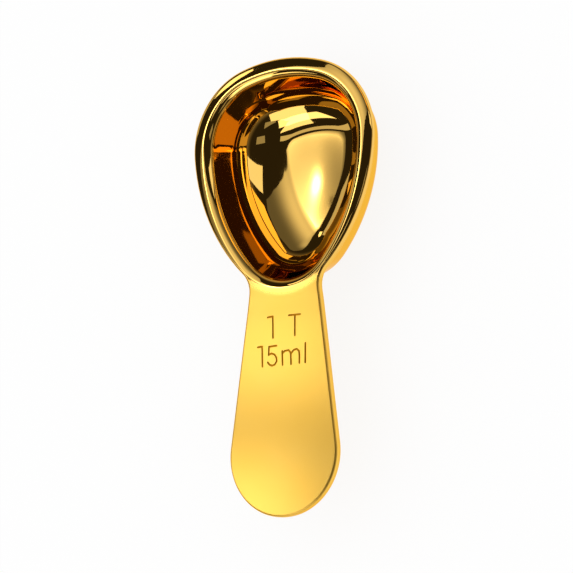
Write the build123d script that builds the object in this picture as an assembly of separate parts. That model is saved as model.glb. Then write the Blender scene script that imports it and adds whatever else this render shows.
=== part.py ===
from build123d import *
import math
import os

# Measuring spoon, one tablespoon (15 ml), in 2 mm metal.
# A deep bowl drawn with a flat lip, and a flat handle butt-welded to the lip at the neck.
# Millimetres. +X is the width, +Y points to the tip of the bowl, +Z is up, and the mouth faces up.
# The origin is on the flat foot, straight below the middle of the mouth.

# The metal
sheet = 2.0                 # one gauge for the lip, the wall, the floor and the handle
edge_round = 0.6            # both edges of the outline are rounded, with a narrow flat between

# The mouth of the bowl, an egg seen from above, measured where the lip and the wall would meet sharp
mouth_width = 38.0
mouth_length = 45.2
mouth_tip_radius = 31.2
mouth_shoulder_radius = 14.0
mouth_flank_radius = 40.0
mouth_heel_radius = 12.4

# The lip around the mouth, from the sharp mouth to the outer edge, and the arcs of that edge
side_lip = 4.15
tip_lip = 4.15
heel_lip = 2.7
lip_tip_radius = 35.3
lip_shoulder_radius = 18.2
lip_flank_radius = 41.3
lip_heel_radius = 13.5

# The bowl below the lip
bowl_depth = 14.5           # brim to inner floor
wall_draft = 14.0           # degrees, the wall leans in towards the floor
bowl_slant = 5.5            # degrees, the bowl goes down towards its tip, so the heel wall leans most
bend_under = 0.1            # radius under the lip where the sheet turns down
floor_heel_radius = 0.46    # the flat floor ends at the heel almost in a point
foot_corner_radius = 8.6    # the corner outside, tighter, so that the foot is long enough to stand on

# The handle
handle_reach = 48.7         # from the heel of the lip to the end of the handle, seen from above
neck_width = 18.2           # at the heel of the lip, before the neck fillets
end_width = 27.4            # the round end
neck_fillet = 5.6
handle_rise = 2.7           # degrees, the handle climbs away from the lip
rise_radius = 60.0          # bend of that climb, on the upper face
seam_reach = 1.0            # the weld lies this far outside the heel of the lip

land = 0.2                  # a straight piece that the section keeps at each end
overrun = 5.0               # how far a cutting shape passes the metal
middle_share = 0.5          # halfway along an edge

brim = bowl_depth + sheet
mouth_round = bend_under + sheet
mouth_tip = mouth_length / 2
mouth_heel = -mouth_length / 2
lip_tip = mouth_tip + tip_lip
lip_heel = mouth_heel - heel_lip
lip_width = mouth_width + 2 * side_lip
handle_end = lip_heel - handle_reach


def polar(centre, radius, angle):
    """The point at an angle in degrees on a circle."""
    turn = math.radians(angle)
    return (centre[0] + radius * math.cos(turn), centre[1] + radius * math.sin(turn))


def angle_from(centre, point):
    """The angle in degrees of a point seen from a centre."""
    return math.degrees(math.atan2(point[1] - centre[1], point[0] - centre[0]))


def circles_meet(centre_a, radius_a, centre_b, radius_b):
    """Where two circles cross, on the right of the line from the first centre to the second."""
    across = (centre_b[0] - centre_a[0], centre_b[1] - centre_a[1])
    apart = math.hypot(*across)
    along = (apart**2 + radius_a**2 - radius_b**2) / (2 * apart)
    aside = math.sqrt(radius_a**2 - along**2)
    unit = (across[0] / apart, across[1] / apart)
    return (
        centre_a[0] + along * unit[0] + aside * unit[1],
        centre_a[1] + along * unit[1] - aside * unit[0],
    )


def egg_arcs(width, tip, heel, tip_radius, shoulder_radius, flank_radius, heel_radius):
    """The right half of an egg as tangent arcs from tip to heel: centre, radius, first and last angle."""
    tip_centre = (0, tip - tip_radius)
    heel_centre = (0, heel + heel_radius)
    shoulder_x = width / 2 - shoulder_radius
    shoulder_rise = math.sqrt((tip_radius - shoulder_radius) ** 2 - shoulder_x**2)
    shoulder_centre = (shoulder_x, tip_centre[1] + shoulder_rise)
    flank_centre = circles_meet(
        shoulder_centre, flank_radius - shoulder_radius, heel_centre, flank_radius - heel_radius
    )
    tip_join = angle_from(tip_centre, shoulder_centre)
    shoulder_join = angle_from(flank_centre, shoulder_centre)
    heel_join = angle_from(flank_centre, heel_centre)
    return [
        (tip_centre, tip_radius, 90, tip_join),
        (shoulder_centre, shoulder_radius, tip_join, shoulder_join),
        (flank_centre, flank_radius, shoulder_join, heel_join),
        (heel_centre, heel_radius, heel_join, -90),
    ]


def arc_edge(centre, radius, first, last):
    """An arc on the ground plane from a first to a last angle, either way round."""
    middle = (first + last) / 2
    return Edge.make_three_point_arc(
        polar(centre, radius, first), polar(centre, radius, middle), polar(centre, radius, last)
    )


def other_side(edge):
    """The same edge on the left of the middle plane, drawn afresh."""
    start, middle, end = [(-(edge @ share).X, (edge @ share).Y) for share in (0, middle_share, 1)]
    if edge.geom_type == GeomType.LINE:
        return Edge.make_line(start, end)
    return Edge.make_three_point_arc(start, middle, end)


def closed_face(half, *across):
    """The flat face inside a right half of edges, the same edges on the left, and any edge across both."""
    return Face(Wire([*half, *[other_side(edge) for edge in half], *across]))


def egg_face(arcs, inset):
    """The flat face inside an egg, drawn in by an inset on every side."""
    half = [arc_edge(centre, radius - inset, first, last) for centre, radius, first, last in arcs]
    return closed_face(half)


mouth_arcs = egg_arcs(
    mouth_width, mouth_tip, mouth_heel,
    mouth_tip_radius, mouth_shoulder_radius, mouth_flank_radius, mouth_heel_radius,
)
lip_arcs = egg_arcs(
    lip_width, lip_tip, lip_heel,
    lip_tip_radius, lip_shoulder_radius, lip_flank_radius, lip_heel_radius,
)

# The section of the cup is the same all the way round the mouth, before the cup is slanted towards the tip.
# Distances inward are counted from the sharp mouth, and heights from the foot.
# The corner between wall and floor is as wide inside as the heel of the mouth leaves room for.
lean = math.tan(math.radians(wall_draft))
slant = 1 / math.cos(math.radians(wall_draft))
half_turn = math.tan(math.radians((90 - wall_draft) / 2))
wall_inset = bowl_depth * lean
floor_inset = mouth_heel_radius - floor_heel_radius
corner_radius = (floor_inset - land - wall_inset) / half_turn
lip_cover = max(side_lip, tip_lip) + seam_reach + land
outer_mouth = sheet * slant - sheet * lean
foot_inset = wall_inset - outer_mouth + foot_corner_radius * half_turn
forward = math.tan(math.radians(bowl_slant))


def cup_section(radius):
    """The sheet cut through at an arc of the mouth: lip with spare metal on it, bend, wall, corner, floor."""
    inside = FilletPolyline(
        (radius + lip_cover, brim),
        (radius, brim),
        (radius - wall_inset, sheet),
        (radius - floor_inset, sheet),
        radius=[mouth_round, corner_radius],
    )
    outside = FilletPolyline(
        (radius - floor_inset, 0),
        (radius + outer_mouth - wall_inset, 0),
        (radius + outer_mouth, bowl_depth),
        (radius + lip_cover, bowl_depth),
        radius=[foot_corner_radius, bend_under],
    )
    floor_end = Line(inside @ 1, outside @ 0)
    lip_end = Line(outside @ 1, inside @ 0)
    sheet_face = make_face([*inside.edges(), floor_end.edge(), *outside.edges(), lip_end.edge()])
    flat_start = radius + mouth_round * half_turn
    flat_end = radius + lip_cover
    spare = make_face(Polyline((flat_start, bowl_depth), (flat_end, bowl_depth), (flat_end, brim + overrun),
                               (flat_start, brim + overrun), close=True))
    return sheet_face + spare


def cup_sector(centre, radius, first, last):
    """The section turned about one arc of the egg."""
    turn = math.radians(first)
    upright = Plane(
        origin=(*centre, 0),
        x_dir=(math.cos(turn), math.sin(turn), 0),
        z_dir=(math.sin(turn), -math.cos(turn), 0),
    )
    turning = Axis((*centre, 0), (0, 0, -1))
    return revolve(upright * cup_section(radius), turning, first - last)


def make_cup():
    """Lip, wall, corner and floor in one drawn piece, slanted below the brim, with spare metal under the foot."""
    half = Part() + [cup_sector(*arc) for arc in mouth_arcs]
    floor = extrude(egg_face(mouth_arcs, floor_inset), sheet, dir=(0, 0, 1))
    spare = extrude(egg_face(mouth_arcs, foot_inset), overrun, dir=(0, 0, -1))
    upright = half + mirror(half, Plane.YZ) + floor + spare
    slanted = Matrix([[1, 0, 0, 0], [0, 1, -forward, forward * brim], [0, 0, 1, 0]])
    return upright.transform_geometry(slanted)


def tangent_angle(point, centre, radius):
    """The direction from a circle's centre to where a line from a point on its right touches it."""
    apart = math.hypot(point[0] - centre[0], point[1] - centre[1])
    return angle_from(centre, point) - math.degrees(math.acos(radius / apart))


def line_meets_circle(start, angle, centre, radius):
    """How far along a line, from its start, it first reaches a circle."""
    turn = math.radians(angle)
    away = (start[0] - centre[0], start[1] - centre[1])
    along = away[0] * math.cos(turn) + away[1] * math.sin(turn)
    return -along - math.sqrt(along**2 - away[0] ** 2 - away[1] ** 2 + radius**2)


def make_outline():
    """The outline of lip and handle together, seen from above, as one chain of tangent arcs and lines."""
    end_radius = end_width / 2
    end_centre = (0, handle_end + end_radius)
    touch_angle = tangent_angle((neck_width / 2, lip_heel), end_centre, end_radius)
    touch = polar(end_centre, end_radius, touch_angle)
    tip, shoulder, flank, heel = lip_arcs
    beside = polar(touch, neck_fillet, touch_angle)
    along = line_meets_circle(beside, touch_angle + 90, flank[0], flank[1] + neck_fillet)
    fillet_centre = polar(beside, along, touch_angle + 90)
    side_top = polar(touch, along, touch_angle + 90)
    neck_angle = angle_from(flank[0], fillet_centre)
    half = [
        arc_edge(*tip),
        arc_edge(*shoulder),
        arc_edge(flank[0], flank[1], flank[2], neck_angle),
        arc_edge(fillet_centre, neck_fillet, neck_angle + 180, touch_angle + 180),
        Edge.make_line(side_top, touch),
    ]
    return closed_face(half, arc_edge(end_centre, end_radius, touch_angle, -180 - touch_angle))


def make_plate():
    """Lip and handle as one sheet, with the climb of the handle and both edges rounded."""
    bend_start = lip_heel - seam_reach
    bend_centre = (bend_start, brim + rise_radius)
    away = -90 - handle_rise
    reach = bend_start - handle_end + overrun
    upper_end = polar(bend_centre, rise_radius, away)
    lower_end = polar(bend_centre, rise_radius + sheet, away)
    upper_far = polar(upper_end, reach, away - 90)
    lower_far = polar(lower_end, reach, away - 90)
    side_view = [
        Edge.make_line((lip_tip + overrun, brim), (bend_start, brim)),
        arc_edge(bend_centre, rise_radius, -90, away),
        Edge.make_line(upper_end, upper_far),
        Edge.make_line(upper_far, lower_far),
        Edge.make_line(lower_far, lower_end),
        arc_edge(bend_centre, rise_radius + sheet, away, -90),
        Edge.make_line((bend_start, bowl_depth), (lip_tip + overrun, bowl_depth)),
        Edge.make_line((lip_tip + overrun, bowl_depth), (lip_tip + overrun, brim)),
    ]
    band = extrude(Plane.YZ * Face(Wire(side_view)), lip_width / 2 + overrun, both=True)
    plate = band & extrude(make_outline(), brim + handle_reach, dir=(0, 0, 1))
    uprights = plate.edges().filter_by(Axis.Z)
    folds = plate.edges().filter_by(Axis.X)
    rims = plate.edges().filter_by(lambda edge: edge not in uprights and edge not in folds)
    return fillet(rims, edge_round)


def make_bowl(plate):
    """The drawn cup, cut level at brim and foot, its lip trimmed to the rounded outline and to the weld."""
    stub = extrude(egg_face(lip_arcs, -seam_reach), brim + overrun, dir=(0, 0, 1))
    below_lip = extrude(egg_face(lip_arcs, 0), bowl_depth, dir=(0, 0, 1))
    return make_cup() & ((plate & stub) + below_lip)


def make_handle(plate):
    """The flat handle, from the weld to its round end."""
    return plate - extrude(egg_face(lip_arcs, -seam_reach), brim + handle_reach, dir=(0, 0, 1))


plate = make_plate()
bowl = make_bowl(plate)
handle = make_handle(plate)

# What the bowl holds, filled level to the brim, and where the spoon balances
filling = extrude(egg_face(mouth_arcs, 0), brim, dir=(0, 0, 1)) - bowl
inside = max(filling.solids(), key=lambda solid: solid.bounding_box().max.Z)
moment = bowl.volume * bowl.center(CenterOf.MASS) + handle.volume * handle.center(CenterOf.MASS)
balance = moment / (bowl.volume + handle.volume)
print("holds cubic millimetres", round(inside.volume), "balances at Y", balance.Y)
for name, part in (("bowl", bowl), ("handle", handle)):
    print(name, "valid", part.is_valid, "solids", len(part.solids()), "volume", round(part.volume))

os.makedirs("parts", exist_ok=True)
export_step(bowl, "parts/bowl.step")
export_step(handle, "parts/handle.step")
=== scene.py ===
# %% [markdown]
# # A gold measuring spoon
# This lesson dresses a measuring spoon: a deep bowl that is polished like a mirror, and a flat handle in
# satin. A mirror shows every bump of its mesh, so the bowl is made of true arcs, and its floor and lip
# curve only slightly. The solid model comes in first. The new pieces take its sizes, in its own frame: +X
# is the width, +Y is the tip.

# %% Load the solid model
import math

import bmesh
import bpy
from mathutils import Matrix, Vector


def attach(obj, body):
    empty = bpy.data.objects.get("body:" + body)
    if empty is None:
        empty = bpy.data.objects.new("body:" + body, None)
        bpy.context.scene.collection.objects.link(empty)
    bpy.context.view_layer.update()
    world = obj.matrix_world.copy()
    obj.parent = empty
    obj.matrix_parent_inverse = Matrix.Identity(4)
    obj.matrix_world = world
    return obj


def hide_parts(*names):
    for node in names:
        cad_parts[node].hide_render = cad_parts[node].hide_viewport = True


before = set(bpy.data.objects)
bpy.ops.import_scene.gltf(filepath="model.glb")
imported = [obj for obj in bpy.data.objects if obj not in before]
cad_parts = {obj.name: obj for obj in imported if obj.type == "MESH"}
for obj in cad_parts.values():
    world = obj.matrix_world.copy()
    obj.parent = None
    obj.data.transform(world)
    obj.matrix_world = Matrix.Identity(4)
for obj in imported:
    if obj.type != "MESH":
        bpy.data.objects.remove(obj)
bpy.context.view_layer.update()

print("solid pieces:", sorted(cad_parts))

# %% [markdown]
# ## Sizes
# Sizes are in millimetres, as a toolmaker would read them, and one factor turns them into metres at the
# end. The mouth of the bowl and the outer edge of its lip are eggs, blunt at the tip and narrow at the
# heel, where the handle starts. An egg could be a stretched circle, but no gauge measures that. Four radii
# on each side can be measured and changed.

# %% Mouth and lip
MM = 0.001
mouth_width, mouth_length = 38.0, 45.2
mouth_radii = (31.2, 14.0, 40.0, 12.4)
side_lip, tip_lip, heel_lip = 4.15, 4.15, 2.7
lip_radii = (35.3, 18.2, 41.3, 13.5)

mouth_tip, mouth_heel = mouth_length / 2, -mouth_length / 2
lip_tip, lip_heel = mouth_tip + tip_lip, mouth_heel - heel_lip
print("the mouth runs from", mouth_heel, "to", mouth_tip, "mm")
print("the lip runs from", lip_heel, "to", lip_tip, "mm")

# %% [markdown]
# ## Eggs
# An egg is drawn with four arcs on each side: tip, shoulder, flank and heel. Where two arcs meet, both
# centres lie on one line with the join, so the edge turns smoothly. A mirror finish would show it if they
# didn't. A free curve through a few points would be quicker, but its bend swells and shrinks between the
# points.


# %% Points on circles
def polar(centre, radius, turn):
    """The point at an angle on a circle."""
    return (centre[0] + radius * math.cos(turn), centre[1] + radius * math.sin(turn))


def turn_to(centre, point):
    """The angle of a point seen from a centre."""
    return math.atan2(point[1] - centre[1], point[0] - centre[0])


def circles_meet(centre_a, radius_a, centre_b, radius_b):
    """Where two circles cross, on the right of the line from the first centre to the second."""
    across = (centre_b[0] - centre_a[0], centre_b[1] - centre_a[1])
    apart = math.hypot(*across)
    along = (apart**2 + radius_a**2 - radius_b**2) / (2 * apart)
    aside = math.sqrt(radius_a**2 - along**2)
    unit = (across[0] / apart, across[1] / apart)
    return (centre_a[0] + along * unit[0] + aside * unit[1], centre_a[1] + along * unit[1] - aside * unit[0])


def arc_points(centre, radius, first, last, steps):
    """Points on an arc, both ends included."""
    return [polar(centre, radius, first + (last - first) * i / steps) for i in range(steps + 1)]


print("a quarter of a circle in two steps:", arc_points((0, 0), 1, 0, math.pi / 2, 2))


# %% An egg as tangent arcs
def egg_arcs(width, tip, heel, radii):
    """The right half of an egg from tip to heel, as (centre, radius, first angle, last angle)."""
    tip_radius, shoulder_radius, flank_radius, heel_radius = radii
    tip_centre, heel_centre = (0, tip - tip_radius), (0, heel + heel_radius)
    shoulder_x = width / 2 - shoulder_radius
    rise = math.sqrt((tip_radius - shoulder_radius) ** 2 - shoulder_x**2)
    shoulder_centre = (shoulder_x, tip_centre[1] + rise)
    flank_centre = circles_meet(
        shoulder_centre, flank_radius - shoulder_radius, heel_centre, flank_radius - heel_radius
    )
    joins = [math.pi / 2, turn_to(tip_centre, shoulder_centre), turn_to(flank_centre, shoulder_centre),
             turn_to(flank_centre, heel_centre), -math.pi / 2]
    centres = (tip_centre, shoulder_centre, flank_centre, heel_centre)
    return list(zip(centres, radii, joins, joins[1:]))


mouth_arcs = egg_arcs(mouth_width, mouth_tip, mouth_heel, mouth_radii)
lip_arcs = egg_arcs(mouth_width + 2 * side_lip, lip_tip, lip_heel, lip_radii)
print("the arcs of the mouth turn by", [round(math.degrees(a - b)) for _, _, a, b in mouth_arcs], "degrees")

# %% [markdown]
# ## The cup
# A real bowl is drawn from flat sheet by a punch, and its wall is as thick as the sheet all round. Its
# section is a lip, a tight bend, a leaning wall, a wide corner and a flat floor. It could be sculpted, or a
# cage could be subdivided, but neither gives true arcs. Spinning that one section about the centre of each
# arc of the mouth does.

# %% Sizes of the section
sheet = 2.0
bowl_depth = 14.5
brim = bowl_depth + sheet
wall_draft = math.radians(14.0)
bend_under = 0.1
corner_radius, foot_corner_radius = 10.4, 8.6

lean = math.tan(wall_draft)
half_turn = math.tan((math.pi / 2 - wall_draft) / 2)
mouth_round = sheet + bend_under
mouth_flat = mouth_round * half_turn
outer_mouth = sheet / math.cos(wall_draft) - sheet * lean
print("the brim is", brim, "mm up, and the bend takes", round(mouth_flat, 2), "mm of the lip")

# %% The section of the sheet
BEND_STEPS, WALL_STEPS, CORNER_STEPS = 14, 4, 30


def cup_side(bend, corner, top, bottom, start):
    """One side of the sheet from the lip down to the floor, as (distance outwards from the mouth, height)."""
    low = math.pi / 2 - wall_draft
    bend_centre = (start + bend * half_turn, top - bend)
    wall_foot = start - (top - bottom) * lean
    corner_centre = (wall_foot - corner * half_turn, bottom + corner)
    upper = arc_points(bend_centre, bend, math.pi / 2, math.pi / 2 + low, BEND_STEPS)
    lower = arc_points(corner_centre, corner, -wall_draft, -math.pi / 2, CORNER_STEPS)
    wall_top, wall_end = Vector(upper[-1]), Vector(lower[0])
    middle = [tuple(wall_top.lerp(wall_end, part / WALL_STEPS)) for part in range(1, WALL_STEPS)]
    return upper + middle + lower


inner_side = cup_side(mouth_round, corner_radius, brim, sheet, 0)
outer_side = cup_side(bend_under, foot_corner_radius, bowl_depth, 0, outer_mouth)
print("inner side from", inner_side[0], "to", inner_side[-1])
print("outer side from", outer_side[0], "to", outer_side[-1])

# %% [markdown]
# The section is spun about one arc after another, and each spin starts with the section in its own place,
# so neighbouring spins meet edge to edge. The whole egg could be spun, but a real bowl is the same on both
# sides, and a mirror image of the right half can't differ from it. Points that lie on each other are then
# merged.

# %% Spin the section round the mouth
STEP = math.radians(2.0)
WELD = 0.004
FEWEST_STEPS = 3


def spin_round(bm, side, arcs):
    """A strip of sheet that follows the arcs, with its section given as (distance outwards, height)."""
    for centre, radius, first, last in arcs:
        points = [(*polar(centre, radius + out, first), height) for out, height in side]
        verts = [bm.verts.new(point) for point in points]
        edges = [bm.edges.new(pair) for pair in zip(verts, verts[1:])]
        steps = max(FEWEST_STEPS, round(abs(last - first) / STEP))
        bmesh.ops.spin(
            bm, geom=verts + edges, cent=(*centre, 0), axis=(0, 0, 1), dvec=(0, 0, 0),
            angle=last - first, steps=steps, use_merge=False, use_duplicate=False,
        )


def mirror_left(bm):
    """Adds the left half and welds it to the right one."""
    both = bm.verts[:] + bm.edges[:] + bm.faces[:]
    bmesh.ops.mirror(bm, geom=both, axis="X", merge_dist=WELD)
    bmesh.ops.remove_doubles(bm, verts=bm.verts[:], dist=WELD)


bowl_mesh, outside_mesh = bmesh.new(), bmesh.new()
for skin_mesh, side in ((bowl_mesh, inner_side), (outside_mesh, outer_side)):
    spin_round(skin_mesh, side, mouth_arcs)
    mirror_left(skin_mesh)
    print("a side of the cup has", len(skin_mesh.faces), "faces")

# %% [markdown]
# ## The floor
# The spun sides leave the floor open. The floor of a drawn bowl looks flat, but its inside sags a little,
# and the mirror shows that as a curved picture of the lamp. One large face would close the hole and could
# not sag, so the hole is closed with shrinking copies of its edge. They are rings of points, which a smooth
# hump can then lower.


# %% Close the floor
def open_loops(bm, height):
    """The open edges that lie at one height."""
    return [
        edge for edge in bm.edges
        if edge.is_boundary and all(abs(vert.co.z - height) < WELD for vert in edge.verts)
    ]


def close_floor(bm, height, rings):
    """Closes a floor with shrinking copies of its edge, the last one filled with one face."""
    loop = bmesh.ops.extrude_edge_only(bm, edges=open_loops(bm, height))["geom"]
    for ring in range(rings, 0, -1):
        verts = [part for part in loop if isinstance(part, bmesh.types.BMVert)]
        share = (ring - 0.5) / (ring + 0.5)
        bmesh.ops.scale(bm, vec=(share, share, 1), verts=verts)
        edges = [part for part in loop if isinstance(part, bmesh.types.BMEdge)]
        if ring > 1:
            loop = bmesh.ops.extrude_edge_only(bm, edges=edges)["geom"]
    bmesh.ops.contextual_create(bm, geom=edges)


inner_rings, outer_rings = 24, 2
close_floor(bowl_mesh, sheet, inner_rings)
close_floor(outside_mesh, 0, outer_rings)
print("open edges left at the floors:", len(open_loops(bowl_mesh, sheet) + open_loops(outside_mesh, 0)))

# %% Let the inside sag
floor_sag = 0.6
sag_reach = (10.0, 12.0)


def dish(point):
    """How far the inside of the floor sags at a point. It fades out over the corner."""
    far = math.hypot(point.x / sag_reach[0], point.y / sag_reach[1])
    low = max(0, 1 - (point.z - sheet) / corner_radius)
    return floor_sag * math.exp(-(far**2)) * low**2


for vert in bowl_mesh.verts:
    vert.co.z -= dish(vert.co)
print("the lowest point of the inside is", round(min(vert.co.z for vert in bowl_mesh.verts), 2), "mm up")

# %% [markdown]
# The punch of the real bowl leans: its floor lies nearer to the tip than its mouth does. The cup could be
# spun about tilted axes, but then the lip would tilt too. A slant moves each point along by how far it lies
# below the brim, and leaves everything level that was level.

# %% Put the two sides together and slant them
bowl_slant = math.radians(5.5)


def join(target, source):
    """Adds the mesh of one bmesh to another."""
    carrier = bpy.data.meshes.new("carrier")
    source.to_mesh(carrier)
    target.from_mesh(carrier)
    bpy.data.meshes.remove(carrier)
    source.free()


join(bowl_mesh, outside_mesh)
for vert in bowl_mesh.verts:
    vert.co.y += (brim - vert.co.z) * math.tan(bowl_slant)
print("the cup has", len(bowl_mesh.faces), "faces")

# %% [markdown]
# ## The outline of lip and handle
# Lip and handle are one outline from above. The side of the handle is a straight line that touches the
# round end, and a small hollow arc leads it into the lip. It could be drawn by eye, but where lines and
# arcs only seem to touch, the polished edge shows a corner. So the places where they touch are worked out.

# %% The side of the handle and its hollow arc
handle_reach = 48.7
neck_width, end_radius, neck_fillet = 18.2, 13.7, 5.6
handle_end = lip_heel - handle_reach


def line_meets_circle(start, turn, centre, radius):
    """How far along a line it first reaches a circle."""
    away = (start[0] - centre[0], start[1] - centre[1])
    along = away[0] * math.cos(turn) + away[1] * math.sin(turn)
    return -along - math.sqrt(along**2 - away[0] ** 2 - away[1] ** 2 + radius**2)


end_centre = (0, handle_end + end_radius)
neck_point = (neck_width / 2, lip_heel)
neck_away = math.hypot(neck_point[0] - end_centre[0], neck_point[1] - end_centre[1])
side_turn = turn_to(end_centre, neck_point) - math.acos(end_radius / neck_away)
touch = polar(end_centre, end_radius, side_turn)
beside = polar(touch, neck_fillet, side_turn)
flank_centre, flank_radius, flank_first, _ = lip_arcs[2]
side_length = line_meets_circle(beside, side_turn + math.pi / 2, flank_centre, flank_radius + neck_fillet)
fillet_centre = polar(beside, side_length, side_turn + math.pi / 2)
neck_turn = turn_to(flank_centre, fillet_centre)
print("the hollow arc turns by", round(math.degrees(side_turn - neck_turn)), "degrees")
print("the handle ends at", handle_end, "mm")

# %% [markdown]
# The handle is welded to the bowl and dressed flush. A straight weld would be simpler, but the finish of
# the real spoon changes along an arc that follows the heel of the lip. The weld is that arc, 1 mm outside
# the lip. Both pieces take the same points for it, so they meet without a gap.

# %% The weld
seam_reach = 1.0
SEAM_STEPS = 12
seam_centre, seam_radius = lip_arcs[3][0], lip_radii[3] + seam_reach
corner = circles_meet(seam_centre, seam_radius, fillet_centre, neck_fillet)
corner_turn = turn_to(fillet_centre, corner) % (2 * math.pi)
seam_turn = turn_to(seam_centre, corner)
seam_line = arc_points(seam_centre, seam_radius, seam_turn, -math.pi - seam_turn, SEAM_STEPS)
print("the weld runs from", seam_line[0], "to", seam_line[-1])

# %% [markdown]
# ## A plate with rounded edges
# Sheet that is cut out has a thin worn edge all round. Here the outline becomes one face, which is extruded
# to the thickness of the sheet, and a bevel rounds both rims. The weld keeps square edges, so its edges are
# left out. A Solidify and a Bevel modifier would do the same, but they need marked edges to leave the weld
# out.

# %% Plate
edge_round = 0.6
ROUND_SEGMENTS = 6


def make_plate(bm, outline, seam):
    """A closed plate under the brim. Its outline is beveled except along the seam."""
    top = bm.faces.new([bm.verts.new((*point, brim)) for point in outline])
    grown = bmesh.ops.extrude_face_region(bm, geom=[top], use_keep_orig=True)["geom"]
    under = [part for part in grown if isinstance(part, bmesh.types.BMVert)]
    bmesh.ops.translate(bm, verts=under, vec=(0, 0, -sheet))
    made = set(top.verts) | set(under)

    def on_seam(vert):
        return any(math.dist(vert.co.xy, point) < WELD for point in seam)

    rims = [
        edge for edge in bm.edges
        if set(edge.verts) <= made and abs(edge.verts[0].co.z - edge.verts[1].co.z) < WELD
        and not all(on_seam(vert) for vert in edge.verts)
    ]
    bmesh.ops.bevel(
        bm, geom=rims, offset=edge_round, segments=ROUND_SEGMENTS, affect="EDGES", profile=0.5, material=-1
    )
    bmesh.ops.recalc_face_normals(bm, faces=bm.faces[:])


print("a rim is rounded by", edge_round, "mm in", ROUND_SEGMENTS, "segments")


# %% Outlines from arcs
OUTLINE_STEP = STEP * 1.5
FEWEST_OUTLINE_STEPS = 4


def outline_points(*arcs):
    """Points along arcs given as (centre, radius, first, last), without the repeated joins."""
    points = []
    for centre, radius, first, last in arcs:
        steps = max(FEWEST_OUTLINE_STEPS, round(abs(last - first) / OUTLINE_STEP))
        points += arc_points(centre, radius, first, last, steps)[bool(points):]
    return points


def left_of(points):
    """The same points on the left, in the opposite order."""
    return [(-x, y) for x, y in reversed(points)]


lip_right = outline_points(
    lip_arcs[0], lip_arcs[1], (flank_centre, flank_radius, flank_first, neck_turn),
    (fillet_centre, neck_fillet, neck_turn + math.pi, corner_turn),
)
lip_outline = lip_right + seam_line[1:-1] + left_of(lip_right)[:-1]
print("the outline of the lip has", len(lip_outline), "points")

# %% [markdown]
# ## Lip and cup in one
# Of the lip's plate only the rim is kept. The rim and the cup then leave two flat rings open, one on the
# brim and one below it. A ring with a hole in it is filled as a whole, which works for eggs that don't have
# the same number of points. Bridging the two loops is the usual way, but here it twisted and drew faces
# across the mouth.

# %% The rim of the lip
lip_mesh = bmesh.new()
make_plate(lip_mesh, lip_outline, seam_line)
flats = sorted(lip_mesh.faces, key=lambda face: face.calc_area())[-2:]
bmesh.ops.delete(lip_mesh, geom=flats, context="FACES_ONLY")
print("the rim of the lip has", len(lip_mesh.faces), "faces")

# %% Join the rim to the cup
CROWN_CUTS = 5
join(bowl_mesh, lip_mesh)
under_loops = open_loops(bowl_mesh, bowl_depth)
bmesh.ops.triangle_fill(bowl_mesh, edges=under_loops, use_beauty=True, normal=(0, 0, -1))
loops = open_loops(bowl_mesh, brim)
filled = bmesh.ops.triangle_fill(bowl_mesh, edges=loops, use_beauty=True, normal=(0, 0, 1))["geom"]
across = [part for part in filled if isinstance(part, bmesh.types.BMEdge) and part not in loops]
bmesh.ops.subdivide_edges(bowl_mesh, edges=across, cuts=CROWN_CUTS, use_grid_fill=True)
open_edges = [edge for edge in bowl_mesh.edges if edge.is_boundary]
print("the bowl has", len(bowl_mesh.faces), "faces and", len(open_edges), "open edges")

# %% [markdown]
# ## The crown of the lip
# A polished lip is never dead flat: the wheel takes more off towards its edge, and a flat lip would show
# one plain patch of light where a real one shows bands. The upper ring was cut across a few times, so it
# has points to move. They sink with the square of their distance from the bend, and more on the right. At
# the neck the crown fades out, because the lip meets the level handle there. A bump in the material would
# bend the light too, but not the edge.

# %% Crown
crown_fall = 0.056
crown_bias = (0.35, 0.75)
crown_start, crown_reach = -22.0, 10.0


def out_of_mouth(point):
    """How far a point lies outside the edge of the mouth, seen from above."""
    spot = (abs(point.x), point.y)
    for centre, radius, first, last in mouth_arcs:
        turn = turn_to(centre, spot)
        if any(last - WELD <= turn + whole <= first + WELD for whole in (0, -2 * math.pi)):
            return math.dist(centre, spot) - radius
    return 0


def crown(point):
    """How much the lip falls away at a point. It fades out towards the neck."""
    out = max(0, out_of_mouth(point) - mouth_flat)
    free = min(1, max(0, (point.y - crown_start) / crown_reach))
    side = 1 + crown_bias[point.x > 0] * point.x / (mouth_width / 2)
    return crown_fall * side * out**2 * free**2 * (3 - 2 * free)


falls = []
for vert in bowl_mesh.verts:
    if vert.co.z > brim - edge_round - WELD:
        falls.append(crown(vert.co))
        vert.co.z -= falls[-1]
bmesh.ops.recalc_face_normals(bowl_mesh, faces=bowl_mesh.faces[:])
print("the lip falls by up to", round(max(falls), 2), "mm")

# %% [markdown]
# ## From a bmesh to a piece
# A bmesh is only the workbench: an object needs its mesh, in metres. Smooth shading alone would bend the
# light across a whole flat beside a small rounding. More edge loops would hold it, but weighted normals do
# so with no new faces: the normal at each corner follows the larger face. Very sharp corners stay sharp.

# %% A piece from a bmesh
SHARP_TURN = math.radians(50)
FLAT_WEIGHT = 80


def make_piece(name, bm):
    """A smooth object in metres."""
    bmesh.ops.scale(bm, vec=(MM, MM, MM), verts=bm.verts[:])
    mesh = bpy.data.meshes.new(name)
    bm.to_mesh(mesh)
    bm.free()
    mesh.shade_smooth()
    piece = bpy.data.objects.new(name, mesh)
    bpy.context.scene.collection.objects.link(piece)
    return piece


def keep_flats(piece):
    """The normal of each corner follows the larger faces, so a flat beside a small radius stays flat."""
    piece.data.set_sharp_from_angle(angle=SHARP_TURN)
    weighted = piece.modifiers.new("flat faces first", "WEIGHTED_NORMAL")
    weighted.mode = "FACE_AREA"
    weighted.weight = FLAT_WEIGHT
    weighted.keep_sharp = True


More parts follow.
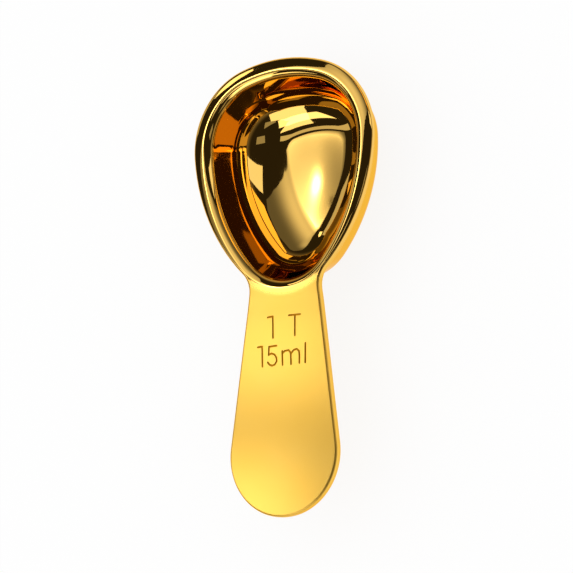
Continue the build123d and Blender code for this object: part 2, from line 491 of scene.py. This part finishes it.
bowl = make_piece("mirror_bowl", bowl_mesh)
keep_flats(bowl)
print("the bowl is", [round(side / MM, 2) for side in bowl.dimensions], "mm")

# %% [markdown]
# ## The handle
# The handle is the rest of the outline, cut from the same sheet. It climbs a little from the lip. It could
# be turned as a whole, but it would then leave a kink at the weld. So the bend is a short arc: a few cross
# cuts give it points, and each point is lifted by how far it lies beyond the start of the bend.

# %% The climb of the handle
handle_rise = math.radians(2.7)
rise_radius = 60.0
bend_start = lip_heel - seam_reach
bend_length = rise_radius * math.sin(handle_rise)


def climb(y):
    """How much higher the handle is at a place along it."""
    beyond = bend_start - y
    if beyond <= 0:
        return 0
    if beyond < bend_length:
        return rise_radius - math.sqrt(rise_radius**2 - beyond**2)
    return rise_radius * (1 - math.cos(handle_rise)) + (beyond - bend_length) * math.tan(handle_rise)


print("the end of the handle is", round(climb(handle_end), 2), "mm higher than the lip")

# %% Handle
END_STEPS = 96
BEND_PARTS = 6
handle_right = outline_points((fillet_centre, neck_fillet, corner_turn, side_turn + math.pi))
end_arc = arc_points(end_centre, end_radius, side_turn, -math.pi - side_turn, END_STEPS)
handle_outline = handle_right + end_arc + left_of(handle_right) + seam_line[::-1][1:-1]
handle_mesh = bmesh.new()
make_plate(handle_mesh, handle_outline, seam_line)
for cut in range(BEND_PARTS + 1):
    whole = handle_mesh.verts[:] + handle_mesh.edges[:] + handle_mesh.faces[:]
    cut_place = (0, bend_start - bend_length * cut / BEND_PARTS, 0)
    bmesh.ops.bisect_plane(handle_mesh, geom=whole, plane_co=cut_place, plane_no=(0, 1, 0))
for vert in handle_mesh.verts:
    vert.co.z += climb(vert.co.y)
handle = make_piece("satin_handle", handle_mesh)
print("the handle is", [round(side / MM, 2) for side in handle.dimensions], "mm")

# %% [markdown]
# ## The stamped mark
# The spoon holds one tablespoon, which is 15 ml, and a plain mark says so. Each stroke is a chain of short
# cutters. A cutter is a tapered peg at both ends of a line with a skin wrapped around them, like the edge
# of a stamp. All of them are taken out of the handle at once. A picture of the mark would be quicker, but
# it would have no depth.

# %% Strokes, as points on the handle
strokes = [
    [(-4.0, -30.4), (-2.7, -30.3)], [(-2.7, -30.3), (-2.6, -35.0)],
    [(1.5, -30.4), (4.3, -30.4)], [(3.0, -30.4), (3.0, -34.9)],
    [(-6.5, -36.8), (-5.4, -36.7)], [(-5.4, -36.7), (-5.3, -41.1)],
    [(-1.7, -36.8), (-3.6, -36.9), (-3.7, -38.7), (-3.0, -38.4), (-2.2, -38.7), (-1.7, -39.4), (-1.6, -40.2),
     (-2.1, -40.9), (-2.8, -41.1), (-3.5, -40.8), (-3.9, -40.3)],
    [(-0.2, -38.1), (-0.1, -41.1)],
    [(-0.1, -38.6), (0.5, -38.1), (1.4, -38.0), (1.9, -38.5), (2.0, -39.1), (2.1, -41.1)],
    [(2.0, -38.9), (2.7, -38.1), (3.5, -37.9), (4.1, -38.4), (4.2, -39.2), (4.2, -41.0)],
    [(5.7, -36.8), (5.7, -41.0)],
]
print("the mark has", len(strokes), "strokes")

# %% Cutters
stroke_top, stroke_foot, stroke_depth = 0.26, 0.19, 0.2
PEG_SIDES = 16


def add_cutter(bm, ends):
    """A skin around two tapered pegs, half of it below the upper face of the handle."""
    points = []
    for end in ends:
        surface = brim + climb(end[1])
        for radius, rise in ((stroke_top, stroke_depth), (stroke_foot, -stroke_depth)):
            ring = [polar(end, radius, 2 * math.pi * i / PEG_SIDES) for i in range(PEG_SIDES)]
            points += [bm.verts.new((*point, surface + rise)) for point in ring]
    skin = bmesh.ops.convex_hull(bm, input=points)
    spare = skin["geom_interior"] + skin["geom_unused"]
    inner = {vert for vert in spare if isinstance(vert, bmesh.types.BMVert)}
    bmesh.ops.delete(bm, geom=list(inner), context="VERTS")


stamp_mesh = bmesh.new()
for stroke in strokes:
    for ends in zip(stroke, stroke[1:]):
        add_cutter(stamp_mesh, ends)
stamp = make_piece("stamp", stamp_mesh)
print("the stamp is", [round(side / MM, 2) for side in stamp.dimensions], "mm")

# %% [markdown]
# The cutters overlap where strokes meet, so the cut is an exact one that allows for it. The result is read
# into the handle's own mesh, and the stamp goes. The sunk faces are then found by where they lie, for a
# rougher, darker metal of their own: polish doesn't reach the ground of a stroke, so it stays rough.

# %% Press the mark into the handle
press = handle.modifiers.new("press", "BOOLEAN")
press.object, press.operation, press.solver, press.use_self = stamp, "DIFFERENCE", "EXACT", True
pressed = handle.evaluated_get(bpy.context.evaluated_depsgraph_get())
plain = handle.data
handle.data = bpy.data.meshes.new_from_object(pressed)
handle.modifiers.clear()
bpy.data.objects.remove(stamp)
bpy.data.meshes.remove(plain)

mark_half_width, mark_foot, mark_top = 8, -43, -29
deepest, shallowest = -1, -0.01


def in_mark(face):
    """Whether a face of the handle is a side or the ground of a stroke."""
    x, y, z = face.center / MM
    near = abs(x) < mark_half_width and mark_foot < y < mark_top
    return near and deepest < z - brim - climb(y) < shallowest


marked = [face.index for face in handle.data.polygons if in_mark(face)]
keep_flats(handle)
print("the strokes left", len(marked), "faces below the surface")

# %% [markdown]
# ## Shader sums
# A finish changes over the surface, and such a change is a sum of numbers. Rows of math nodes hide the sum,
# so one small class wraps a node's output and gives it plus, minus and times. A sum in Python then adds the
# nodes by itself. Every other node comes from one method, which takes its type, its settings and what goes
# into its sockets.


# %% A socket that adds and multiplies
class Wire:
    """The output of a shader node, which works in sums like a number."""

    def __init__(self, tree, socket=None):
        self.tree, self.socket = tree, socket

    def node(self, kind, settings, values, output=0):
        """Any node in this tree: its type, then its settings, then what goes into its sockets."""
        made = self.tree.nodes.new(kind)
        for name, value in settings.items():
            setattr(made, name, value)
        for name, value in values.items():
            if isinstance(value, Wire):
                self.tree.links.new(value.socket, made.inputs[name])
            else:
                made.inputs[name].default_value = value
        return Wire(self.tree, made.outputs[output] if made.outputs else None)

    def math(self, operation, *values):
        return self.node("ShaderNodeMath", {"operation": operation}, dict(enumerate(values)))

    def __add__(self, other):
        return self.math("ADD", self, other)

    def __sub__(self, other):
        return self.math("SUBTRACT", self, other)

    def __rsub__(self, other):
        return self.math("SUBTRACT", other, self)

    def __mul__(self, other):
        return self.math("MULTIPLY", self, other)

    __radd__, __rmul__ = __add__, __mul__

    def between(self, low, high):
        """A smooth step from 0 at the low value to 1 at the high value."""
        return self.node("ShaderNodeMapRange", {"interpolation_type": "SMOOTHSTEP"},
                         {"Value": self, "From Min": low, "From Max": high})


# %% Materials and the nodes that they share
def start_material(name):
    """An empty material and a wire in its tree."""
    material = bpy.data.materials.new(name)
    material.use_nodes = True
    material.node_tree.nodes.clear()
    return material, Wire(material.node_tree)


def end_material(wire, shader):
    """Shows a shader on the surface."""
    wire.node("ShaderNodeOutputMaterial", {}, {"Surface": shader})


def own_place(wire):
    """The place of a point on its own object."""
    return wire.node("ShaderNodeTexCoord", {}, {}, "Object")


def far_from(wire, place, spot):
    """How far a place is from a fixed spot."""
    return wire.node("ShaderNodeVectorMath", {"operation": "DISTANCE"}, {0: place, 1: spot}, "Value")


def mixed(wire, share, first, second):
    """A colour between two others."""
    return wire.node("ShaderNodeMix", {"data_type": "RGBA"}, {0: share, 6: first, 7: second}, 2)


def noise(wire, place, scale, detail=2.0, rough=0.5):
    """A soft noise around one half, with a scale in cells per metre."""
    return wire.node("ShaderNodeTexNoise", {},
                     {"Vector": place, "Scale": scale, "Detail": detail, "Roughness": rough})


# %% [markdown]
# ## Gold
# Both finishes are the same gold. A metal has no colour of its own but tints what it reflects. It tints
# less where it is seen at a flat angle, and the shader has a socket for that. Satin looks a little paler
# than the mirror. The mirror stops just outside the heel of the mouth, and the satin of the handle starts
# there. Smudges make both a little uneven. Drawn metal is never quite true, so a very low, wide bump lets
# the reflections wander. A picture of the finish would need a map of the surface. These noises sit in the
# metal itself.

# %% Tones and roughness
GOLD, DEEP_GOLD = (0.96, 0.60, 0.15, 1), (0.94, 0.56, 0.12, 1)
PALE_GOLD, SOFT_GOLD = (1.0, 0.63, 0.12, 1), (0.98, 0.58, 0.085, 1)
EDGE_GOLD = (1.0, 0.72, 0.32, 1)
TONE_CELLS, SMUDGE_CELLS, WAVE_CELLS, GRAIN_CELLS = 70.0, 160.0, 55.0, 5200.0
smudge_detail, smudge_break = 4.0, 0.6
smudge_low, smudge_high = 0.45, 0.75
polish_rough, satin_rough, smudge_rough, wear = 0.03, 0.4, 0.02, 0.06
grain_height = 0.004
satin_start, satin_full = 1.5, 3.8
neck_low, neck_high = -22, -17
print("the satin fades in over", round(satin_full - satin_start, 1), "mm at the neck")


# %% Where the satin is
def satin_at_neck(wire, place):
    """From 0 inside the bowl to 1 outside the heel of its mouth."""
    flat = wire.node("ShaderNodeVectorMath", {"operation": "MULTIPLY"}, {0: place, 1: (1, 1, 0)})
    away = far_from(wire, flat, (0, (mouth_heel + mouth_radii[3]) * MM, 0))
    along = wire.node("ShaderNodeSeparateXYZ", {}, {0: place}, "Y")
    edge = mouth_radii[3] * MM
    outside = away.between(edge + satin_start * MM, edge + satin_full * MM)
    return outside * (1 - along.between(neck_low * MM, neck_high * MM))


def satin_all_over(smudge):
    """Satin that is a little worn where it was touched."""
    return 1 - wear * smudge


# %% Gold with its finish
def gold(name, wave, satin_from_neck):
    """Gold with wide waves, in millimetres, as a mirror that turns to satin or as satin all over."""
    material, wire = start_material(name)
    place = own_place(wire)
    tone = noise(wire, place, TONE_CELLS)
    smudge = noise(wire, place, SMUDGE_CELLS, smudge_detail, smudge_break).between(smudge_low, smudge_high)
    share = satin_at_neck(wire, place) if satin_from_neck else satin_all_over(smudge)
    polished, brushed = mixed(wire, tone, GOLD, DEEP_GOLD), mixed(wire, tone, PALE_GOLD, SOFT_GOLD)
    waves = noise(wire, place, WAVE_CELLS) * wave * MM
    grain = noise(wire, place, GRAIN_CELLS) * share * grain_height * MM
    end_material(wire, wire.node("ShaderNodeBsdfPrincipled", {}, {
        "Base Color": mixed(wire, share, polished, brushed), "Metallic": 1.0,
        "Roughness": polish_rough + smudge_rough * smudge + share * (satin_rough - polish_rough),
        "Normal": wire.node("ShaderNodeBump", {},
                            {"Height": waves + grain, "Strength": 1.0, "Distance": 1.0}),
        "Specular Tint": EDGE_GOLD,
    }))
    return material


mirror_wave, handle_wave = 0.03, 0.02
polished_gold = gold("polished gold", mirror_wave, True)
satin_gold = gold("satin gold", handle_wave, False)
print("nodes in each gold:", len(polished_gold.node_tree.nodes), len(satin_gold.node_tree.nodes))

# %% [markdown]
# ## Gold in the mark
# The strokes are too narrow to be polished, so they are rough, and their gold is darker. One material for the
# whole handle with a mask would need the outline of each stroke a second time. The sunk faces are known
# already, so they get a material of their own.

# %% The metal of the mark, and what each piece stands for
MARK_GOLD = (0.5, 0.21, 0.01, 1)
MARK_CELLS = 3000.0
mark_smooth, mark_rough = 0.4, 0.6
mark_gold, wire = start_material("gold in the mark")
end_material(wire, wire.node("ShaderNodeBsdfPrincipled", {}, {
    "Base Color": MARK_GOLD, "Metallic": 1.0,
    "Roughness": mark_smooth + (mark_rough - mark_smooth) * noise(wire, own_place(wire), MARK_CELLS),
}))
for piece, material, node in ((bowl, polished_gold, "bowl"), (handle, satin_gold, "handle")):
    for owner in (piece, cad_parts[node]):
        owner.data.materials.clear()
        owner.data.materials.append(material)
    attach(piece, "root")
    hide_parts(node)
handle.data.materials.append(mark_gold)
for index in marked:
    handle.data.polygons[index].material_index = 1
print("materials:", [material.name for material in bpy.data.materials])

# %% [markdown]
# ## A studio for a mirror
# A mirror shows nothing but its surroundings, so the look of the bowl is set by what it sees. Lamps would
# only give dots, and a photograph of a studio would be a picture file. Here the bowl sees a dark studio
# with level cards high over the spoon. Only reflections see them: the camera doesn't, and they cast no
# light on the floor and no shadow. Each corner of a card is a slope from the spoon, so a ray that leaves
# the metal with that slope meets that corner.

# %% Things that shine
CARD_HEIGHT = 0.4
WHITE, AMBER, BLACK = (1, 1, 1, 1), (1, 0.62, 0.14, 1), (0, 0, 0, 1)


def glow(name, colour, strength, level=None):
    """A black surface that shines. A level from 0 to 1 can vary over it."""
    material, wire = start_material(name)
    shine = mixed(wire, level(wire, own_place(wire)), BLACK, colour) if level else colour
    end_material(wire, wire.node("ShaderNodeBsdfPrincipled", {}, {
        "Base Color": BLACK, "Roughness": 1.0, "Specular IOR Level": 0.0,
        "Emission Color": shine, "Emission Strength": strength,
    }))
    return material


def stage_piece(name, bm, material):
    """A piece of the studio that only reflections see."""
    mesh = bpy.data.meshes.new(name)
    bm.to_mesh(mesh)
    bm.free()
    mesh.materials.append(material)
    made = bpy.data.objects.new(name, mesh)
    bpy.context.scene.collection.objects.link(made)
    made.visible_camera = made.visible_diffuse = made.visible_shadow = False


def card(name, corners, material):
    """A level card over the spoon, with its corners as slopes from the spoon: across and along."""
    bm = bmesh.new()
    bm.faces.new([bm.verts.new((x * CARD_HEIGHT, y * CARD_HEIGHT, CARD_HEIGHT)) for x, y in corners])
    stage_piece(name, bm, material)


print("cards lie", CARD_HEIGHT, "m over the spoon")

# %% [markdown]
# The soft box is the bright shape on the floor of the bowl. Its cloth is brightest where the lamp stands
# behind it and falls off all round. A ramp from edge to edge would be simpler, but it has no hot middle. A
# few round glows added up do: a small very bright one, a wider one around it, and two broad ones that carry
# the light to the ends of the cloth.

# %% Soft box
glows = (
    (0.8, -0.61, 0.223, 0.029), (0.085, -0.57, 0.25, 0.115),
    (0.055, -0.25, 0.4, 0.4), (0.03, -0.26, 1.05, 0.3),
)
cloth_level = 0.009
cloth_strength = 14.0


def soft_level(wire, place):
    """The sum of round glows, each given as its share, its place across and along, and its reach."""
    level = cloth_level
    for share, x, y, reach in glows:
        spot = (x * CARD_HEIGHT, y * CARD_HEIGHT, CARD_HEIGHT)
        away = far_from(wire, place, spot) * (1 / (reach * CARD_HEIGHT))
        level = level + share * wire.math("EXPONENT", -1 * away * away)
    return level


soft_box = [
    (-0.9, 0.08), (-0.62, 0.12), (-0.53, 0.155), (-0.45, 0.18), (-0.19, 0.22), (0.06, 0.31), (0.36, 0.46),
    (0.85, 0.81), (1.0, 1.1), (0.9, 1.7), (0.33, 1.9), (-0.2, 1.6), (-0.33, 1.2), (-0.45, 0.6),
    (-0.62, 0.34), (-0.64, 0.3), (-0.7, 0.265), (-0.84, 0.24),
]
card("soft_box", soft_box, glow("soft box", WHITE, cloth_strength, soft_level))
print("the soft box has", len(soft_box), "corners and", len(glows), "glows")

# %% [markdown]
# The other cards are plain. A strip and a large front card towards the handle make the pale patches above
# the soft box, with a far card beyond them. The left wall of the bowl faces right, where a white and an
# amber card give it its orange patch. Small cards light the left of the lip and the sides. They could be
# set by trial, as in a real studio. Here a few rays were followed back from the metal first, and each
# corner was then chosen.

# %% Plain cards
plain_cards = {
    "strip_card": (WHITE, 0.65, [
        (-1.7, -0.02), (-0.72, 0.04), (-0.45, 0.06), (-0.1, -0.02), (-0.1, -0.15), (-0.45, -0.06),
        (-0.72, -0.1), (-1.7, -0.3),
    ]),
    "front_card": (WHITE, 1.4, [
        (-0.62, -0.25), (-0.08, -0.25), (-0.1, -0.3), (-0.3, -0.5), (-0.42, -0.7), (-0.3, -0.85),
        (0.0, -1.0), (0.3, -1.05), (0.45, -2.4), (-1.4, -2.4), (-0.98, -1.6), (-0.75, -0.95), (-0.63, -0.5),
    ]),
    "far_card": (WHITE, 0.35, [(0.06, -0.88), (0.7, -0.8), (0.7, -1.3), (0.06, -1.02)]),
    "right_card": (WHITE, 1.1, [(0.72, 0.36), (1.15, 0.44), (3.0, 0.7), (3.0, 1.4), (1.3, 0.9), (1.0, 0.8)]),
    "amber_card": (AMBER, 1.5, [(1.2, 1.15), (3.0, 1.66), (1.1, 3.4), (1.0, 1.7)]),
    "left_card": (WHITE, 0.6, [(-1.15, 0.4), (-1.1, 0.7), (-3.0, 1.5), (-3.2, 0.8)]),
    "lip_card": (WHITE, 1.8, [
        (-0.98, 0.5), (-0.78, 0.43), (-0.76, 0.5), (-0.78, 0.6), (-0.85, 0.72), (-0.98, 0.66),
    ]),
    "side_card": (WHITE, 0.35, [(0.55, -0.1), (0.6, -0.4), (1.2, -0.5), (1.2, -0.1)]),
}
for name, (colour, strength, corners) in plain_cards.items():
    card(name, corners, glow(name.replace("_", " "), colour, strength))
print("cards:", ["soft_box", *plain_cards])

# %% [markdown]
# Between the cards the bowl sees the studio itself. It is a half sphere, dark overhead, so that the walls
# stay nearly black from the photograph's side, and lighter towards the horizon, so that the spoon looks
# like gold and not like black glass from a low angle. Plain black would be simpler and would lose those
# views.

# %% Dark studio
STUDIO_RADIUS, STUDIO_AROUND, STUDIO_UP = 2.0, 48, 24
STUDIO_LIGHT, studio_strength = (1.0, 0.84, 0.6, 1), 0.45
overhead_level = 0.05
haze_foot, haze_top = 0.1, 0.9


def room_level(wire, place):
    """A studio that is dark overhead and lighter towards the horizon."""
    height = wire.node("ShaderNodeSeparateXYZ", {}, {0: place}, "Z")
    return overhead_level + (1 - overhead_level) * (1 - height.between(haze_foot, haze_top))


dome = bmesh.new()
bmesh.ops.create_uvsphere(dome, u_segments=STUDIO_AROUND, v_segments=STUDIO_UP, radius=STUDIO_RADIUS)
below = [vert for vert in dome.verts if vert.co.z < -MM]
bmesh.ops.delete(dome, geom=below, context="VERTS")
print("the studio has", len(dome.faces), "faces")
stage_piece("dark_studio", dome, glow("dark studio", STUDIO_LIGHT, studio_strength, room_level))

# %% [markdown]
# ## Lamps for the satin
# Satin spreads a reflection, so the handle needs large soft lamps and not cards: it is bright at the neck,
# deeper in the middle and bright again at the end. In the mirror such lamps would be hard bright patches,
# so each one lights only the pieces that it names. Painting the handle lighter and darker would look right
# from one side only.


# %% Handle lamps
def handle_lamp(name, place, size, power, lit):
    """A flat lamp over the handle, in millimetres and watts, that lights only some pieces."""
    data = bpy.data.lights.new(name, "AREA")
    data.shape, data.size, data.size_y, data.energy = "RECTANGLE", size[0] * MM, size[1] * MM, power
    lamp = bpy.data.objects.new(name, data)
    lamp.location = [side * MM for side in place]
    lamp.visible_camera = False
    receivers = bpy.data.collections.new("lit by the " + name)
    for piece in lit:
        receivers.objects.link(piece)
    lamp.light_linking.receiver_collection = receivers
    bpy.context.scene.collection.objects.link(lamp)


handle_lamp("neck_lamp", (-31, -26.7, 60), (42, 24.5), 0.0056, (handle, bowl))
handle_lamp("end_lamp", (-44, -70, 60), (50, 32), 0.0092, (handle,))

# %% [markdown]
# ## Floor and sky
# The spoon lies on plain white paper under an even white sky. Paper alone would come out grey. Stronger
# lamps would make it white and the spoon too pale, so the paper shines a little by itself, for the camera
# and for reflections, and the spoon's soft shadow stays on it.

# %% Paper
FLOOR_HALF = 1.8
PAPER = (0.96, 0.96, 0.96, 1)
paper_shine = 0.85
floor_bm = bmesh.new()
bmesh.ops.create_grid(floor_bm, x_segments=1, y_segments=1, size=FLOOR_HALF)
floor_mesh = bpy.data.meshes.new("floor")
floor_bm.to_mesh(floor_mesh)
floor_bm.free()
floor = bpy.data.objects.new("floor", floor_mesh)
bpy.context.scene.collection.objects.link(floor)

paper, wire = start_material("white paper")
camera_ray, glossy_ray, glass_ray = (
    wire.node("ShaderNodeLightPath", {}, {}, "Is " + ray + " Ray")
    for ray in ("Camera", "Glossy", "Transmission")
)
seen = wire.math("MAXIMUM", wire.math("MAXIMUM", camera_ray, glossy_ray), glass_ray)
matte = wire.node("ShaderNodeBsdfPrincipled", {},
                  {"Base Color": PAPER, "Roughness": 1.0, "Specular IOR Level": 0.0})
shine = wire.node("ShaderNodeEmission", {}, {"Color": WHITE, "Strength": 1.0})
end_material(wire, wire.node("ShaderNodeMixShader", {}, {0: paper_shine * seen, 1: matte, 2: shine}))
floor_mesh.materials.append(paper)
print("the paper is", [round(side, 2) for side in floor.dimensions], "m")

# %% Sky
world = bpy.data.worlds.new("sky")
bpy.context.scene.world = world
world.use_nodes = True
background = world.node_tree.nodes["Background"]
background.inputs["Color"].default_value = WHITE
background.inputs["Strength"].default_value = 1.0
bpy.context.scene.view_settings.view_transform = "Standard"

# %% [markdown]
# ## Camera
# The photograph looks down on the spoon, from the right and a little from the handle's side. A camera could
# be aimed by a constraint, but then its roll would be guessed. Here its three axes are built from two leans
# and a roll, as a photographer sets a tripod head. How much of the outer wall shows gives the leans. The
# focal length is in pixels of the photograph, where the size of the mouth was measured. The shift moves the
# aimed point to its own pixel.

# %% Camera
photo_size, focal_pixels, aim_pixel = 573, 2760, (285.48, 283.70)
sensor, distance, nearest = 36, 0.6, 0.05
lean_right, lean_near, roll = math.radians(32.5), math.radians(9.4), math.radians(-1.11)
aim_along = -23.25
aim = Vector((0, aim_along, brim - sheet / 2)) * MM

away = Vector((math.tan(lean_right), -math.tan(lean_near), 1)).normalized()
up = (Vector((0, 1, 0)) - away * away.y).normalized()
right = up.cross(away)
right, up = right * math.cos(roll) + up * math.sin(roll), up * math.cos(roll) - right * math.sin(roll)
camera_data = bpy.data.cameras.new("camera")
camera_data.sensor_width = sensor
camera_data.lens = sensor * focal_pixels / photo_size
camera_data.shift_x = (photo_size / 2 - aim_pixel[0]) / photo_size
camera_data.shift_y = (aim_pixel[1] - photo_size / 2) / photo_size
camera_data.clip_start = nearest
camera = bpy.data.objects.new("camera", camera_data)
bpy.context.scene.collection.objects.link(camera)
turned = Matrix((right, up, away)).transposed().to_4x4()
camera.matrix_world = Matrix.Translation(aim + away * distance) @ turned
bpy.context.scene.camera = camera
print("the lens is", round(camera_data.lens, 1), "mm long, and the camera is", distance, "m from the spoon")
